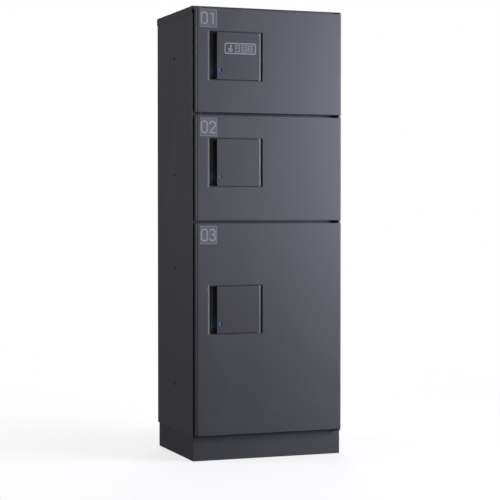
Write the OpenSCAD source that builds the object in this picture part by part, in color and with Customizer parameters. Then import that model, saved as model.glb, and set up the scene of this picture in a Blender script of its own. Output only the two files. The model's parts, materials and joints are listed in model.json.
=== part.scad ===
// Parcel locker: three-door steel cabinet on a plinth.
// X runs to the right, Y to the back and Z up. The origin is at the floor,
// under the middle of the locker, and the doors face -Y.

/* [Cabinet] */
// Width over the top cap
overall_w = 450; // [380:5:600]
// Depth of the cabinet behind the doors
body_d = 330; // [260:5:450]
// Height of a small compartment; the bottom compartment is two of these
module_h = 300; // [250:5:400]
// Height of the plinth
plinth_h = 70; // [50:1:120]
// Thickness of the cabinet's sheet steel
sheet_t = 1.2; // [0.8:0.1:1.6]
// Thickness of the plinth's sheet steel
plinth_t = 1.6; // [1.2:0.1:2.4]
// Width of the plinth's top and bottom flanges
plinth_flange_w = 30; // [26:1:40]
// Distance from the cabinet's back to the plinth's back
plinth_back_inset = 10; // [0:1:30]
// Height of the top cap's flanges
cap_flange_h = 20; // [12:1:30]
// Width of the front stiles
stile_w = 25; // [24:1:32]
// Depth of the stiles' return lips
stile_lip_d = 15; // [14:1:20]
// Width of the back returns
back_return_w = 20; // [15:1:30]
// Height of the front rails
rail_h = 25; // [20:1:32]

/* [Fixing holes] */
// Radius of the holes that join cabinets side by side and to a wall
link_hole_r = 4.5; // [3:0.25:6]
// Distance of a side hole from the end of its 2-compartment zone
link_hole_inset = 133; // [100:1:160]
// Spacing of the wall holes across the back
wall_hole_dx = 300; // [200:10:340]
// Spacing of the wall holes up the back
wall_hole_dz = 900; // [860:10:940]
// Radius of the floor anchor holes
floor_hole_r = 5.5; // [4:0.25:7]
// Spacing of the floor anchor holes across the plinth
floor_hole_dx = 360; // [200:10:400]

/* [Doors] */
// Depth of a door
door_t = 20; // [20:0.5:26]
// Gap between a closed door and the cabinet
door_gap = 7; // [6:0.5:9]
// Gap between two doors, one above the other
door_gap_z = 7.2; // [6.5:0.1:9]
// Gap over the top door
door_top_gap = 7.5; // [6.5:0.1:9]
// Distance of the doors' handle edge from the cabinet's side
door_inset_left = 3.5; // [1:0.5:6]
// Distance of the doors' hinge edge from the cabinet's side
door_inset_right = 7.5; // [6:0.5:10]
// Radius of the doors' front upright edges
door_edge_r = 4.5; // [3:0.25:6]
// Width of the return lips at the back of a door
door_lip_w = 15; // [12:1:18]
// Thickness of the stiffening sheet inside a door
inner_t = 1; // [0.8:0.1:1.2]
// Side of the square number plate
plate_w = 50.5; // [40:0.5:54]
// Thickness of the number plate
plate_t = 0.8; // [0.5:0.1:1]
// Distance of the number plate from the door's handle edge
plate_inset = 9; // [6:0.5:14]
// Drop from each door's top to its number plate
plate_drop = [3, 8, 7.5];

/* [Hinges] */
// Radius of the hinge pins
hinge_pin_r = 3.5; // [2.5:0.25:3.75]
// Wall of the door bushes
bush_wall = 1.4; // [1:0.1:1.6]
// Length of a hinge pin inside a door
hinge_pin_reach = 12; // [8:1:20]
// Distance of the hinge axis from the door's hinge edge
hinge_edge = 6.6; // [6.3:0.1:8]
// Depth of the hinge axis behind the door's face
hinge_depth = 10; // [9:0.5:11]
// Thickness of the hinge brackets
bracket_t = 3; // [2:0.25:3.5]
// Width of a hinge bracket's tab
tab_w = 15; // [13:0.5:16]
// Thickness of the washers at the top and bottom of the doors
end_washer_t = 1; // [0.8:0.1:1.2]

/* [Lock recess] */
// Width of the recess opening
recess_w = 164.4; // [155:0.2:200]
// Height of the recess opening
recess_h = 138; // [132:1:170]
// Distance of the recess from the door's handle edge
recess_inset = 31; // [29:0.5:36]
// Drop from each door's top to its recess
recess_drop = [62, 62, 173];
// Corner radius of the recess opening
recess_r = 3; // [1:0.5:5]
// Depth of the recess behind the door's face
tray_depth = 24; // [23:0.5:25]
// Wall of the recess tray
tray_t = 1; // [0.8:0.1:1.2]
// Gap between the door's sheet and the tray
tray_gap = 1.1; // [0.6:0.1:1.4]
// How far the tray's sloping finger wall reaches across
finger_slope_w = 18.3; // [14:0.1:20]

/* [Flap] */
// Distance of the flap's free edge from the recess's edge
flap_inset = 28.6; // [26:0.1:31]
// Gap over and under the flap
flap_gap_z = 3.3; // [2.8:0.1:4]
// Thickness of the flap
flap_t = 2; // [1.5:0.1:2.5]
// Depth of the flap's folded edges
flap_fold_d = 6.5; // [5:0.5:7]
// Radius of the flap's hinge barrel
flap_barrel_r = 6; // [5:0.25:6]
// Radius of the flap's hinge pin
flap_pin_r = 2; // [1.5:0.25:2.5]
// Radius of the flap's peephole
peephole_r = 4.25; // [3:0.25:5]

/* [Lock] */
// Radius of the turn knob's hub
knob_r = 20; // [18:0.5:21]
// Width of the coloured ring round the turn knob
ring_w = 7; // [5:0.5:7]
// Radius of the knob's spindle
spindle_r = 5; // [4:0.25:6]
// How far the lock bolt travels
bolt_travel = 14; // [10:0.5:16]
// Height of the lock bolt
bolt_h = 15; // [14:0.5:16]
// Thickness of the lock bolt
bolt_t = 5; // [4:0.25:5.5]
// Radius of the code dial
dial_r = 19; // [15:0.5:20]
// Radius of the code dial's shaft
dial_shaft_r = 4; // [3:0.25:5]
// Travel of the receipt stamp's button
stamp_travel = 4; // [2:0.5:5]

/* [Hidden] */
$fn = 48;
cut = 1;                 // how far a cut runs past the surface it opens
fit = 0.3;               // gap between fixed parts that slip together
run = 0.06;              // radial clearance of a turning fit
seat = 0.02;             // radial clearance of a pressed fit
wash = 0.1;              // end play over a washer

// cabinet
body_w = overall_w - 2 * sheet_t;
side_x = body_w / 2;                       // outer face of the right side
inner_x = side_x - sheet_t;                // inner face of the right side
lip_x = side_x - stile_w;                  // inner face of the right stile's lip
overall_h = plinth_h + 4 * module_h;
top_z = overall_h - sheet_t;               // underside of the cap
low_shelf_z = plinth_h + 2 * module_h;     // middle of the lower partition
high_shelf_z = low_shelf_z + module_h;     // middle of the upper partition
face_y = -(plate_t + door_t + door_gap + body_d + sheet_t) / 2 + plate_t;
door_back_y = face_y + door_t;
front_y = door_back_y + door_gap;          // front of the cabinet
back_y = front_y + body_d;                 // back of the side panels
pan_y0 = front_y + stile_lip_d + fit;      // where pans widen behind the lips
pan_y1 = back_y - 2 * sheet_t - fit;       // back edge of pans and shelves
pan_x = inner_x - fit;

// plinth
plinth_x = side_x - 1;
plinth_y1 = back_y - plinth_back_inset;
floor_hole_edge = plinth_flange_w / 2;
plinth_bolt_x = side_x - 12;
plinth_bolt_y = [front_y + 60, plinth_y1 - 60];
plinth_bolt_r = 3;
plinth_bolt_hex = 5.8;

// stitch rivets of the side panels: [distance from the front, height]
rivet_r = 1.6;
rivet_head_r = 2.6;
rivet_tail_r = 2.1;
mid_low_z = plinth_h + module_h;           // middle of the tall compartment
bracket_y = [27, 120];                     // shelf bracket, from the front
triple = [[37, 7], [37, 39], [108, 22.5]];
rivets = concat(
    [for (p = triple) [p[0], high_shelf_z + p[1]]],
    [for (p = triple) [p[0], mid_low_z + p[1]]],
    [for (y = [-14, 36, 76]) [body_d / 2 + y, low_shelf_z - 8.5]]);

// doors, numbered 0 to 2 from the top
door_x0 = -side_x + door_inset_left;
door_x1 = side_x - door_inset_right;
door_z0 = [for (z = [high_shelf_z, low_shelf_z, plinth_h]) z + door_gap_z / 2];
door_z1 = [overall_h - door_top_gap, high_shelf_z - door_gap_z / 2,
           low_shelf_z - door_gap_z / 2];

// hinges
hinge_x = door_x1 - hinge_edge;
hinge_y = face_y + hinge_depth;
bush_r = hinge_pin_r + run + bush_wall;
washer_r = 6.3;
mid_washer_t = (door_gap_z - bracket_t) / 2 - wash;
mid_tabs = [high_shelf_z - bracket_t / 2, low_shelf_z - bracket_t / 2];
top_tab = door_z1[0] + wash + end_washer_t;
bottom_tab = door_z0[2] - wash - end_washer_t - bracket_t;
leg_h = 38;
leg_x0 = lip_x + 2;
leg_x1 = side_x - 3;
leg_x = (leg_x0 + leg_x1) / 2;
leg_screw_r = 2;
leg_screw_head_r = 4;
leg_screw_end = 11;                        // from a leg's end to its screw
// bracket legs: [bottom, top, screw heights]
legs = concat(
    [for (z = mid_tabs) [z + bracket_t / 2 - leg_h / 2, z + bracket_t / 2 + leg_h / 2]],
    [[top_tab + bracket_t - leg_h, top_tab + bracket_t]],
    [[bottom_tab, bottom_tab + leg_h]]);
// pins: [bottom, top]
pins = concat(
    [for (z = mid_tabs) [z - mid_washer_t - wash - hinge_pin_reach,
                         z + bracket_t + mid_washer_t + wash + hinge_pin_reach]],
    [[door_z1[0] - hinge_pin_reach, top_tab + bracket_t]],
    [[bottom_tab, door_z0[2] + hinge_pin_reach]]);

// recess: p runs right from its edge, q up from its lower edge, and
// depth back from the door's face
recess_x = door_x0 + recess_inset;
recess_z = [for (i = [0:2]) door_z1[i] - recess_drop[i] - recess_h];
tray_in = tray_gap + tray_t;               // inner face of the tray's walls
tray_back = tray_depth + tray_t;
tray_rim_w = 7;

// flap
flap_pin_p = recess_w - tray_in - flap_barrel_r - 1.7;
flap_fold_t = 1.5;

// lock: the knob, the dial and the case behind the tray
peephole_q = 30;
peephole_p = flap_inset + 10.5;
knob_q = peephole_q;
knob_p = peephole_p + knob_r + 2.9;
dial_p = knob_p + 56;
dial_q = 45;
hub_depth = 8.5;                           // front of the knob's hub
ring_depth = 9;                            // front of the coloured ring
ring_t = 1.5;
hub_back = 12;
grip_depth = 4;                            // front of the grips
crank_r = bolt_travel / sqrt(2);
crank_pin_r = 2;
crank_slip = 0.03 * crank_r + 0.2;         // an arc pin in a straight slot
cam_t = 2.5;
cam_gap = 1;                               // on each side of the cam disc
stile_gap = 1.3;                           // from the stile's sheet to the bolt
bolt_depth = max(door_t + door_gap + sheet_t + stile_gap, tray_back + cam_t + 2 * cam_gap);
cam_depth = bolt_depth - cam_gap - cam_t;
bolt_q = knob_q - crank_r * 0.86;          // middle of the bolt's height
case_p = [knob_p - 18, dial_p + 28];
case_q = [3, 71];
case_wall = 1.5;
case_back = bolt_depth + bolt_t + 6.5;
boss_r = 4;
boss_p = [case_p[0] + 5, case_p[1] - 5];
boss_q = [case_q[0] + 5, case_q[1] - 5];
lock_screw_r = 1.5;
lock_screw_head_r = 3;
bolt_free = 2.5;                           // from the drawn-back bolt to the stile
bolt_slot_gap = 0.9;

// receipt stamp under the top flap
stamp_p = [knob_p, dial_p + 32];
stamp_q = [78, 124];
stamp_depth = 10;                          // front of the stamp's housing
button_p = (stamp_p[0] + stamp_p[1]) / 2;
button_q = 110;
button_w = 30;
button_h = 14;
button_proud = 5;
button_root = 4;                           // depth of the button inside its hole at rest

steel = [0.25, 0.25, 0.27];
dark_steel = [0.08, 0.08, 0.09];
bare_steel = [0.62, 0.63, 0.65];
black = [0.04, 0.04, 0.05];
nylon = [0.10, 0.10, 0.11];

// ---- shapes that repeat ----

// box between two opposite corners
module block(a, b) {
    translate(a) cube(b - a);
}

module rod_x(r, x0, x1, y, z) {
    translate([x0, y, z]) rotate([0, 90, 0]) cylinder(r = r, h = x1 - x0);
}

module rod_y(r, y0, y1, x, z) {
    translate([x, y0, z]) rotate([-90, 0, 0]) cylinder(r = r, h = y1 - y0);
}

module rod_z(r, z0, z1, x, y) {
    translate([x, y, z0]) cylinder(r = r, h = z1 - z0);
}

module round_rect(w, h, r) {
    translate([r, 0]) square([w - 2 * r, h]);
    translate([0, r]) square([w, h - 2 * r]);
    for (x = [r, w - r]) for (y = [r, h - r]) translate([x, y]) circle(r = r);
}

// upright rounded slab between y0 and y1, with its lower left corner at x, z
module slab_y(x, z, w, h, r, y0, y1) {
    translate([x, y1, z]) rotate([90, 0, 0]) linear_extrude(y1 - y0) round_rect(w, h, r);
}

// the same on both sides of the cabinet
module both_sides() {
    children();
    mirror([1, 0, 0]) children();
}

// places its children at a recess's corner and the door's face
module at_recess(i) {
    translate([recess_x, face_y, recess_z[i]]) children();
}

// ---- cabinet ----

module plinth() {
    inset = [plinth_flange_w, plinth_flange_w, 0];
    color(steel) difference() {
        block([-plinth_x, front_y, 0], [plinth_x, plinth_y1, plinth_h]);
        block([-plinth_x + plinth_t, front_y + plinth_t, plinth_t],
              [plinth_x - plinth_t, plinth_y1 - plinth_t, plinth_h - plinth_t]);
        block([-plinth_x, front_y, -cut] + inset,
              [plinth_x, plinth_y1, plinth_h + cut] - inset);
        for (x = [-1, 1] * floor_hole_dx / 2)
            for (y = [front_y + floor_hole_edge, plinth_y1 - floor_hole_edge])
                rod_z(floor_hole_r, -cut, plinth_t + cut, x, y);
        plinth_bolt_holes();
    }
}

module plinth_bolt_holes() {
    for (x = [-1, 1] * plinth_bolt_x) for (y = plinth_bolt_y)
        rod_z(plinth_bolt_r + fit, plinth_h - plinth_t - cut, plinth_h + sheet_t + cut, x, y);
}

module plinth_bolts() {
    head_h = 4;
    nut_h = 5;
    under = plinth_h - plinth_t;
    over = plinth_h + sheet_t;
    color(bare_steel) for (x = [-1, 1] * plinth_bolt_x) for (y = plinth_bolt_y) {
        rod_z(plinth_bolt_r, under, over + nut_h + 2, x, y);
        translate([x, y, under - head_h]) cylinder(r = plinth_bolt_hex, h = head_h, $fn = 6);
        translate([x, y, over]) cylinder(r = plinth_bolt_hex, h = nut_h, $fn = 6);
    }
}

module rivet_holes() {
    for (r = rivets)
        rod_x(rivet_r + seat, -side_x - cut, -side_x + 6, front_y + r[0], r[1]);
}

// left side: wall, front stile with its lip, back return and bottom flange
module side_sheet() {
    difference() {
        union() {
            block([-side_x, front_y, plinth_h], [-inner_x, back_y, top_z]);
            block([-side_x, front_y, plinth_h], [-lip_x, front_y + sheet_t, top_z]);
            block([-lip_x - sheet_t, front_y, plinth_h], [-lip_x, front_y + stile_lip_d, top_z]);
            block([-side_x, back_y - sheet_t, plinth_h],
                  [-side_x + back_return_w, back_y, top_z]);
            block([-side_x, pan_y0, plinth_h],
                  [-side_x + back_return_w, pan_y1 - 2, plinth_h + sheet_t]);
        }
        for (z = [plinth_h, low_shelf_z])
            for (h = [link_hole_inset, 2 * module_h - link_hole_inset])
                rod_x(link_hole_r, -side_x - cut, -inner_x + cut, front_y + body_d / 2, z + h);
        rivet_holes();
        plinth_bolt_holes();
    }
}

module strike_slot(i) {
    at_recess(i)
        block([-recess_x - side_x + 4, bolt_depth - bolt_slot_gap, bolt_q - bolt_h / 2 - 1],
              [-recess_x - lip_x + cut, bolt_depth + bolt_t + bolt_slot_gap, bolt_q + bolt_h / 2 + 1]);
}

module side_panel_left() {
    color(steel) difference() {
        side_sheet();
        for (i = [0:2]) strike_slot(i);
    }
}

module side_panel_right() {
    color(steel) difference() {
        mirror([1, 0, 0]) side_sheet();
        leg_screw_holes(leg_screw_r + fit);
    }
}

module back_panel() {
    mid_z = (plinth_h + overall_h) / 2;
    color(steel) difference() {
        block([-pan_x, back_y - 2 * sheet_t, plinth_h], [pan_x, back_y - sheet_t, top_z]);
        for (x = [-1, 1] * wall_hole_dx / 2) for (z = [-1, 1] * wall_hole_dz / 2)
            rod_y(link_hole_r, back_y - 2 * sheet_t - cut, back_y, x, mid_z + z);
    }
}

module top_cap() {
    x = overall_w / 2;
    color(steel) difference() {
        block([-x, front_y, overall_h - cap_flange_h], [x, back_y + sheet_t, overall_h]);
        block([-side_x, front_y - cut, overall_h - cap_flange_h - cut], [side_x, back_y, top_z]);
    }
}

module header_rail() {
    z = top_z - rail_h;
    y1 = pan_y0 + 10;
    color(steel) {
        block([-lip_x, front_y, z], [lip_x, front_y + sheet_t, top_z]);
        block([-lip_x, front_y, z], [lip_x, y1, z + sheet_t]);
        block([-lip_x, y1 - sheet_t, z], [lip_x, y1, z + rail_h / 2]);
    }
}

// outline of a pan that is narrow between the stile lips and wide behind them
module pan_outline(t, y1) {
    translate([-lip_x + t, front_y + t]) square([2 * (lip_x - t), pan_y0 - front_y + t]);
    translate([-pan_x + t, pan_y0 + t]) square([2 * (pan_x - t), y1 - pan_y0 - t]);
}

module floor_pan() {
    foot_d = 18;
    color(steel) difference() {
        translate([0, 0, plinth_h + sheet_t])
            linear_extrude(rail_h - sheet_t) pan_outline(0, pan_y1);
        translate([0, 0, plinth_h - cut])
            linear_extrude(rail_h + cut - sheet_t) pan_outline(sheet_t, pan_y1 - sheet_t);
    }
    color(steel) block([-lip_x, front_y, plinth_h], [lip_x, front_y + foot_d, plinth_h + sheet_t]);
}

module partition(z) {
    color(steel) difference() {
        translate([0, 0, z - rail_h / 2]) linear_extrude(rail_h) pan_outline(0, pan_y1);
        translate([0, 0, z - rail_h / 2 + sheet_t])
            linear_extrude(rail_h - 2 * sheet_t) pan_outline(sheet_t, pan_y1 + cut);
        both_sides() rivet_holes();
    }
}

// angle under a shelf's edge, riveted to the side
module shelf_bracket(z0, z1) {
    leg_t = 1.5;
    ledge_w = 18;
    difference() {
        union() {
            block([-inner_x, front_y + bracket_y[0], z0],
                  [-inner_x + leg_t, front_y + bracket_y[1], z1]);
            block([-inner_x, front_y + bracket_y[0], z0],
                  [-inner_x + ledge_w, front_y + bracket_y[1], z0 + leg_t]);
        }
        rivet_holes();
    }
}

module shelf_brackets() {
    leg_top = 48;
    color(steel) both_sides() {
        shelf_bracket(high_shelf_z + rail_h / 2, high_shelf_z + leg_top);
        shelf_bracket(mid_low_z, mid_low_z + leg_top);
    }
}

module side_rivets() {
    head_t = 0.8;
    tail_x = -inner_x + 1.8;
    color(steel) both_sides() for (r = rivets) {
        y = front_y + r[0];
        rod_x(rivet_head_r, -side_x - head_t, -side_x, y, r[1]);
        rod_x(rivet_r, -side_x - head_t / 2, tail_x, y, r[1]);
        rod_x(rivet_tail_r, tail_x, tail_x + 1.5, y, r[1]);
    }
}

module strike_plates() {
    t = 2;
    half_h = 20;
    color(bare_steel) for (i = [0:2]) difference() {
        block([-lip_x - sheet_t - t, front_y + sheet_t, recess_z[i] + bolt_q - half_h],
              [-lip_x - sheet_t, front_y + stile_lip_d, recess_z[i] + bolt_q + half_h]);
        strike_slot(i);
    }
}

module door_bumpers() {
    r = 5;
    end = 30;
    x = -side_x + stile_w / 2 + 2;
    color(black) for (i = [0:2]) for (z = [door_z0[i] + end, door_z1[i] - end])
        rod_y(r, door_back_y + fit, front_y, x, z);
}

// ---- hinges ----

module leg_screw_holes(r) {
    for (leg = legs) for (z = [leg[0] + leg_screw_end, leg[1] - leg_screw_end])
        rod_y(r, front_y - bracket_t - cut, front_y + sheet_t + cut, leg_x, z);
}

// leg on the stile and a tab that carries the pin, with a round nose
module hinge_bracket(tab_z, leg) {
    nose = tab_w / 2;
    block([leg_x0, front_y - bracket_t, leg[0]], [leg_x1, front_y, leg[1]]);
    rod_z(nose, tab_z, tab_z + bracket_t, hinge_x, hinge_y);
    block([hinge_x - nose, hinge_y, tab_z], [hinge_x + nose, front_y, tab_z + bracket_t]);
}

module hinge_brackets() {
    tabs = concat(mid_tabs, [top_tab, bottom_tab]);
    color(dark_steel) difference() {
        for (i = [0:3]) hinge_bracket(tabs[i], legs[i]);
        for (pin = pins) rod_z(hinge_pin_r + seat, pin[0], pin[1] + cut, hinge_x, hinge_y);
        rod_z(hinge_pin_r + seat, bottom_tab - cut, door_z0[2], hinge_x, hinge_y);
        leg_screw_holes(leg_screw_r + seat);
        for (leg = legs) for (z = [leg[0] + leg_screw_end, leg[1] - leg_screw_end])
            rod_y(leg_screw_head_r + seat, front_y - bracket_t - cut,
                  front_y - bracket_t / 2, leg_x, z);
    }
}

module hinge_pins() {
    color(bare_steel) for (pin = pins) rod_z(hinge_pin_r, pin[0], pin[1], hinge_x, hinge_y);
}

module washer(z0, z1) {
    difference() {
        rod_z(washer_r, z0, z1, hinge_x, hinge_y);
        rod_z(hinge_pin_r + run, z0 - cut, z1 + cut, hinge_x, hinge_y);
    }
}

module hinge_washers() {
    color(nylon) {
        for (z = mid_tabs) {
            washer(z - mid_washer_t, z);
            washer(z + bracket_t, z + bracket_t + mid_washer_t);
        }
        washer(top_tab - end_washer_t, top_tab);
        washer(bottom_tab + bracket_t, bottom_tab + bracket_t + end_washer_t);
    }
}

module hinge_screws() {
    color(dark_steel) for (leg = legs) for (z = [leg[0] + leg_screw_end, leg[1] - leg_screw_end]) {
        rod_y(leg_screw_r, front_y - bracket_t / 2, front_y + sheet_t + 6, leg_x, z);
        difference() {
            rod_y(leg_screw_head_r, front_y - bracket_t, front_y - bracket_t / 2, leg_x, z);
            translate([leg_x, front_y - bracket_t - cut, z]) rotate([-90, 0, 0])
                cylinder(r = 1.6, h = cut + 0.9, $fn = 6);
        }
    }
}

// ---- doors ----

// plan of a door: square at the back, round at the two front edges
module door_plan(w, d, r) {
    translate([0, r]) square([w, d - r]);
    translate([r, 0]) square([w - 2 * r, r]);
    for (x = [r, w - r]) translate([x, r]) circle(r = r);
}

module door_skin(i) {
    w = door_x1 - door_x0;
    z0 = door_z0[i];
    z1 = door_z1[i];
    color(steel) difference() {
        translate([door_x0, face_y, z0]) linear_extrude(z1 - z0)
            door_plan(w, door_t, door_edge_r);
        translate([door_x0 + sheet_t, face_y + sheet_t, z0 + sheet_t])
            linear_extrude(z1 - z0 - 2 * sheet_t)
            door_plan(w - 2 * sheet_t, door_t - 2 * sheet_t, door_edge_r - sheet_t);
        block([door_x0 + door_lip_w, door_back_y - 2 * sheet_t, z0 + door_lip_w],
              [door_x1 - door_lip_w, door_back_y + cut, z1 - door_lip_w]);
        slab_y(recess_x, recess_z[i], recess_w, recess_h, recess_r,
               face_y - cut, face_y + 2 * sheet_t);
        for (z = [z0, z1]) rod_z(bush_r + seat, z - 2 * sheet_t, z + 2 * sheet_t, hinge_x, hinge_y);
    }
}

module door_inner(i) {
    edge = sheet_t + fit;
    y1 = door_back_y - sheet_t;
    clear = 1;
    color(steel) difference() {
        block([door_x0 + edge, y1 - inner_t, door_z0[i] + edge],
              [door_x1 - edge, y1, door_z1[i] - edge]);
        block([recess_x - clear, y1 - inner_t - cut, recess_z[i] - clear],
              [recess_x + recess_w + clear, y1 + cut, recess_z[i] + recess_h + clear]);
    }
}

module number_plate(i) {
    x = door_x0 + plate_inset;
    z = door_z1[i] - plate_drop[i] - plate_w;
    color([0.38, 0.38, 0.40]) slab_y(x, z, plate_w, plate_w, 1.5, face_y - plate_t, face_y);
}

module hinge_bushes(i) {
    length = hinge_pin_reach + 2;
    color(nylon) for (z = [door_z0[i], door_z1[i] - length]) difference() {
        rod_z(bush_r, z, z + length, hinge_x, hinge_y);
        rod_z(hinge_pin_r + run, z - cut, z + length + cut, hinge_x, hinge_y);
    }
}

// plan of the recess tray, inset by t from its outside
module tray_plan(t, front, back) {
    slope = (finger_slope_w - tray_in) / tray_depth;
    left = tray_in + (t - tray_t) * sqrt(1 + slope * slope);
    right = recess_w - tray_gap - t;
    polygon([[left + slope * front, front], [right, front],
             [right, back], [left + slope * back, back]]);
}

module recess_tray(i) {
    color(steel) difference() {
        at_recess(i) union() {
            translate([0, 0, tray_gap]) linear_extrude(recess_h - 2 * tray_gap)
                tray_plan(0, 0, tray_back);
            slab_y(-tray_rim_w, -tray_rim_w, recess_w + 2 * tray_rim_w,
                   recess_h + 2 * tray_rim_w, recess_r, sheet_t, sheet_t + tray_t);
        }
        at_recess(i) union() {
            translate([0, 0, tray_in]) linear_extrude(recess_h - 2 * tray_in)
                tray_plan(tray_t, -cut, tray_depth);
            rod_z(flap_pin_r + seat, -cut, recess_h + cut, flap_pin_p, flap_barrel_r);
            rod_y(spindle_r + run, tray_depth - cut, tray_back + cut, knob_p, knob_q);
            rod_y(dial_shaft_r + run, tray_depth - cut, tray_back + cut, dial_p, dial_q);
            for (p = boss_p) for (q = boss_q)
                rod_y(lock_screw_r + 0.1, tray_depth - cut, tray_back + cut, p, q);
        }
    }
}

module lock_case(i) {
    color(dark_steel) at_recess(i) difference() {
        union() {
            difference() {
                block([case_p[0], tray_back, case_q[0]], [case_p[1], case_back, case_q[1]]);
                block([case_p[0] + case_wall, tray_back - cut, case_q[0] + case_wall],
                      [case_p[1] - case_wall, case_back - case_wall, case_q[1] - case_wall]);
            }
            for (p = boss_p) for (q = boss_q) rod_y(boss_r, tray_back, case_back - cut, p, q);
        }
        for (p = boss_p) for (q = boss_q)
            rod_y(lock_screw_r + 0.1, tray_back - cut, tray_back + 13, p, q);
        block([case_p[0] - cut, bolt_depth - fit, bolt_q - bolt_h / 2 - fit],
              [case_p[0] + case_wall + cut, bolt_depth + bolt_t + fit, bolt_q + bolt_h / 2 + fit]);
    }
}

module lock_screws(i) {
    head_t = 1.8;
    color(bare_steel) at_recess(i) for (p = boss_p) for (q = boss_q) {
        rod_y(lock_screw_r, tray_depth - head_t / 2, tray_back + 12, p, q);
        difference() {
            rod_y(lock_screw_head_r, tray_depth - head_t, tray_depth, p, q);
            block([p - 2, tray_depth - head_t - cut, q - 0.4], [p + 2, tray_depth - head_t + 0.8, q + 0.4]);
            block([p - 0.4, tray_depth - head_t - cut, q - 2], [p + 0.4, tray_depth - head_t + 0.8, q + 2]);
        }
    }
}

module flap_pin(i) {
    reach = 1.5;
    color(bare_steel) at_recess(i)
        rod_z(flap_pin_r, -reach, recess_h + reach, flap_pin_p, flap_barrel_r);
}

// plate with folded edges, and a barrel round the pin
module flap_cover(i) {
    q0 = flap_gap_z;
    q1 = recess_h - flap_gap_z;
    color(steel) at_recess(i) difference() {
        union() {
            block([flap_inset, 0, q0], [flap_pin_p, flap_t, q1]);
            block([flap_inset, 0, q0], [flap_inset + flap_fold_t, flap_fold_d, q1]);
            for (q = [q0, q1 - flap_fold_t])
                block([flap_inset, 0, q], [flap_pin_p - flap_barrel_r / 2, flap_fold_d, q + flap_fold_t]);
            rod_z(flap_barrel_r, q0, q1, flap_pin_p, flap_barrel_r);
        }
        rod_z(flap_pin_r + run, q0 - cut, q1 + cut, flap_pin_p, flap_barrel_r);
        rod_y(peephole_r, -cut, flap_t + cut, peephole_p, peephole_q);
    }
}

// ---- lock ----

// hub and grip in front, spindle through the tray, cam disc and its pin behind
module turn_knob(i) {
    grip_w = 9;
    px = knob_p + crank_r * sin(45);
    pz = knob_q - crank_r * cos(45);
    color(black) at_recess(i) {
        rod_y(knob_r, hub_depth, hub_back, knob_p, knob_q);
        slab_y(knob_p - grip_w / 2, knob_q - knob_r + 2, grip_w, 2 * (knob_r - 2), 3,
               grip_depth, hub_depth);
        rod_y(spindle_r + 2, hub_back, tray_depth - 0.5, knob_p, knob_q);
        rod_y(spindle_r, tray_depth - 1, cam_depth + cam_t / 2, knob_p, knob_q);
        rod_y(crank_r + crank_pin_r + 1.5, cam_depth, cam_depth + cam_t, knob_p, knob_q);
        rod_y(crank_pin_r, cam_depth + cam_t / 2, bolt_depth + bolt_t + 1, px, pz);
    }
}

module vacancy_ring(i) {
    color([0.20, 0.45, 0.85]) at_recess(i) difference() {
        rod_y(knob_r + ring_w, ring_depth, ring_depth + ring_t, knob_p, knob_q);
        rod_y(knob_r + seat, ring_depth - cut, ring_depth + ring_t + cut, knob_p, knob_q);
    }
}

module lock_bolt(i) {
    slot_p = knob_p + crank_r * sin(45);
    slot_w = 2 * (crank_pin_r + crank_slip);
    tip = -lip_x + bolt_free - recess_x;
    color(bare_steel) at_recess(i) difference() {
        block([tip, bolt_depth, bolt_q - bolt_h / 2],
              [slot_p + slot_w / 2 + 5, bolt_depth + bolt_t, bolt_q + bolt_h / 2]);
        block([slot_p - slot_w / 2, bolt_depth - cut, knob_q - crank_r - crank_pin_r - 0.5],
              [slot_p + slot_w / 2, bolt_depth + bolt_t + cut,
               knob_q - crank_r * cos(45) + crank_pin_r + 0.5]);
    }
}

module code_dial(i) {
    back = hub_back + 7;
    flutes = 12;
    color(black) at_recess(i) {
        difference() {
            rod_y(dial_r, grip_depth + 3, back, dial_p, dial_q);
            for (k = [0:flutes - 1])
                rod_y(1.6, grip_depth, back - 4, dial_p + (dial_r + 0.4) * sin(k * 360 / flutes),
                      dial_q + (dial_r + 0.4) * cos(k * 360 / flutes));
        }
        rod_y(dial_shaft_r, back, cam_depth + 4, dial_p, dial_q);
        rod_y(12, cam_depth, cam_depth + 4, dial_p, dial_q);
    }
}

// ---- receipt stamp ----

module button_hole(gap, depth0, depth1) {
    slab_y(button_p - button_w / 2 - gap, button_q - button_h / 2 - gap,
           button_w + 2 * gap, button_h + 2 * gap, 2, depth0, depth1);
}

module stamp_housing() {
    color(black) at_recess(0) difference() {
        slab_y(stamp_p[0], stamp_q[0], stamp_p[1] - stamp_p[0], stamp_q[1] - stamp_q[0], 4,
               stamp_depth, tray_depth);
        button_hole(fit, stamp_depth - cut, stamp_depth + button_root + stamp_travel + 1);
        // slot for the receipt slip, and the ink pad's well
        block([stamp_p[0] + 10, stamp_depth - cut, stamp_q[0] + 8],
              [stamp_p[1] - 10, tray_depth - 2, stamp_q[0] + 12]);
    }
}

module stamp_button() {
    color([0.55, 0.10, 0.08]) at_recess(0)
        button_hole(0, stamp_depth - button_proud, stamp_depth + button_root);
}

// ---- the locker ----

plinth();
plinth_bolts();
side_panel_left();
side_panel_right();
back_panel();
top_cap();
header_rail();
floor_pan();
partition(high_shelf_z);  // partition_upper
partition(low_shelf_z);  // partition_lower
shelf_brackets();
side_rivets();
strike_plates();
hinge_brackets();
hinge_pins();
hinge_washers();
hinge_screws();
door_bumpers();
door_skin(0);  // door_skin_01
door_inner(0);  // door_inner_01
number_plate(0);  // number_plate_01
recess_tray(0);  // recess_tray_01
lock_case(0);  // lock_case_01
lock_screws(0);  // lock_screws_01
hinge_bushes(0);  // hinge_bushes_01
flap_pin(0);  // flap_pin_01
flap_cover(0);  // flap_cover_01
turn_knob(0);  // turn_knob_01
vacancy_ring(0);  // vacancy_ring_01
lock_bolt(0);  // lock_bolt_01
code_dial(0);  // code_dial_01
door_skin(1);  // door_skin_02
door_inner(1);  // door_inner_02
number_plate(1);  // number_plate_02
recess_tray(1);  // recess_tray_02
lock_case(1);  // lock_case_02
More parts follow.
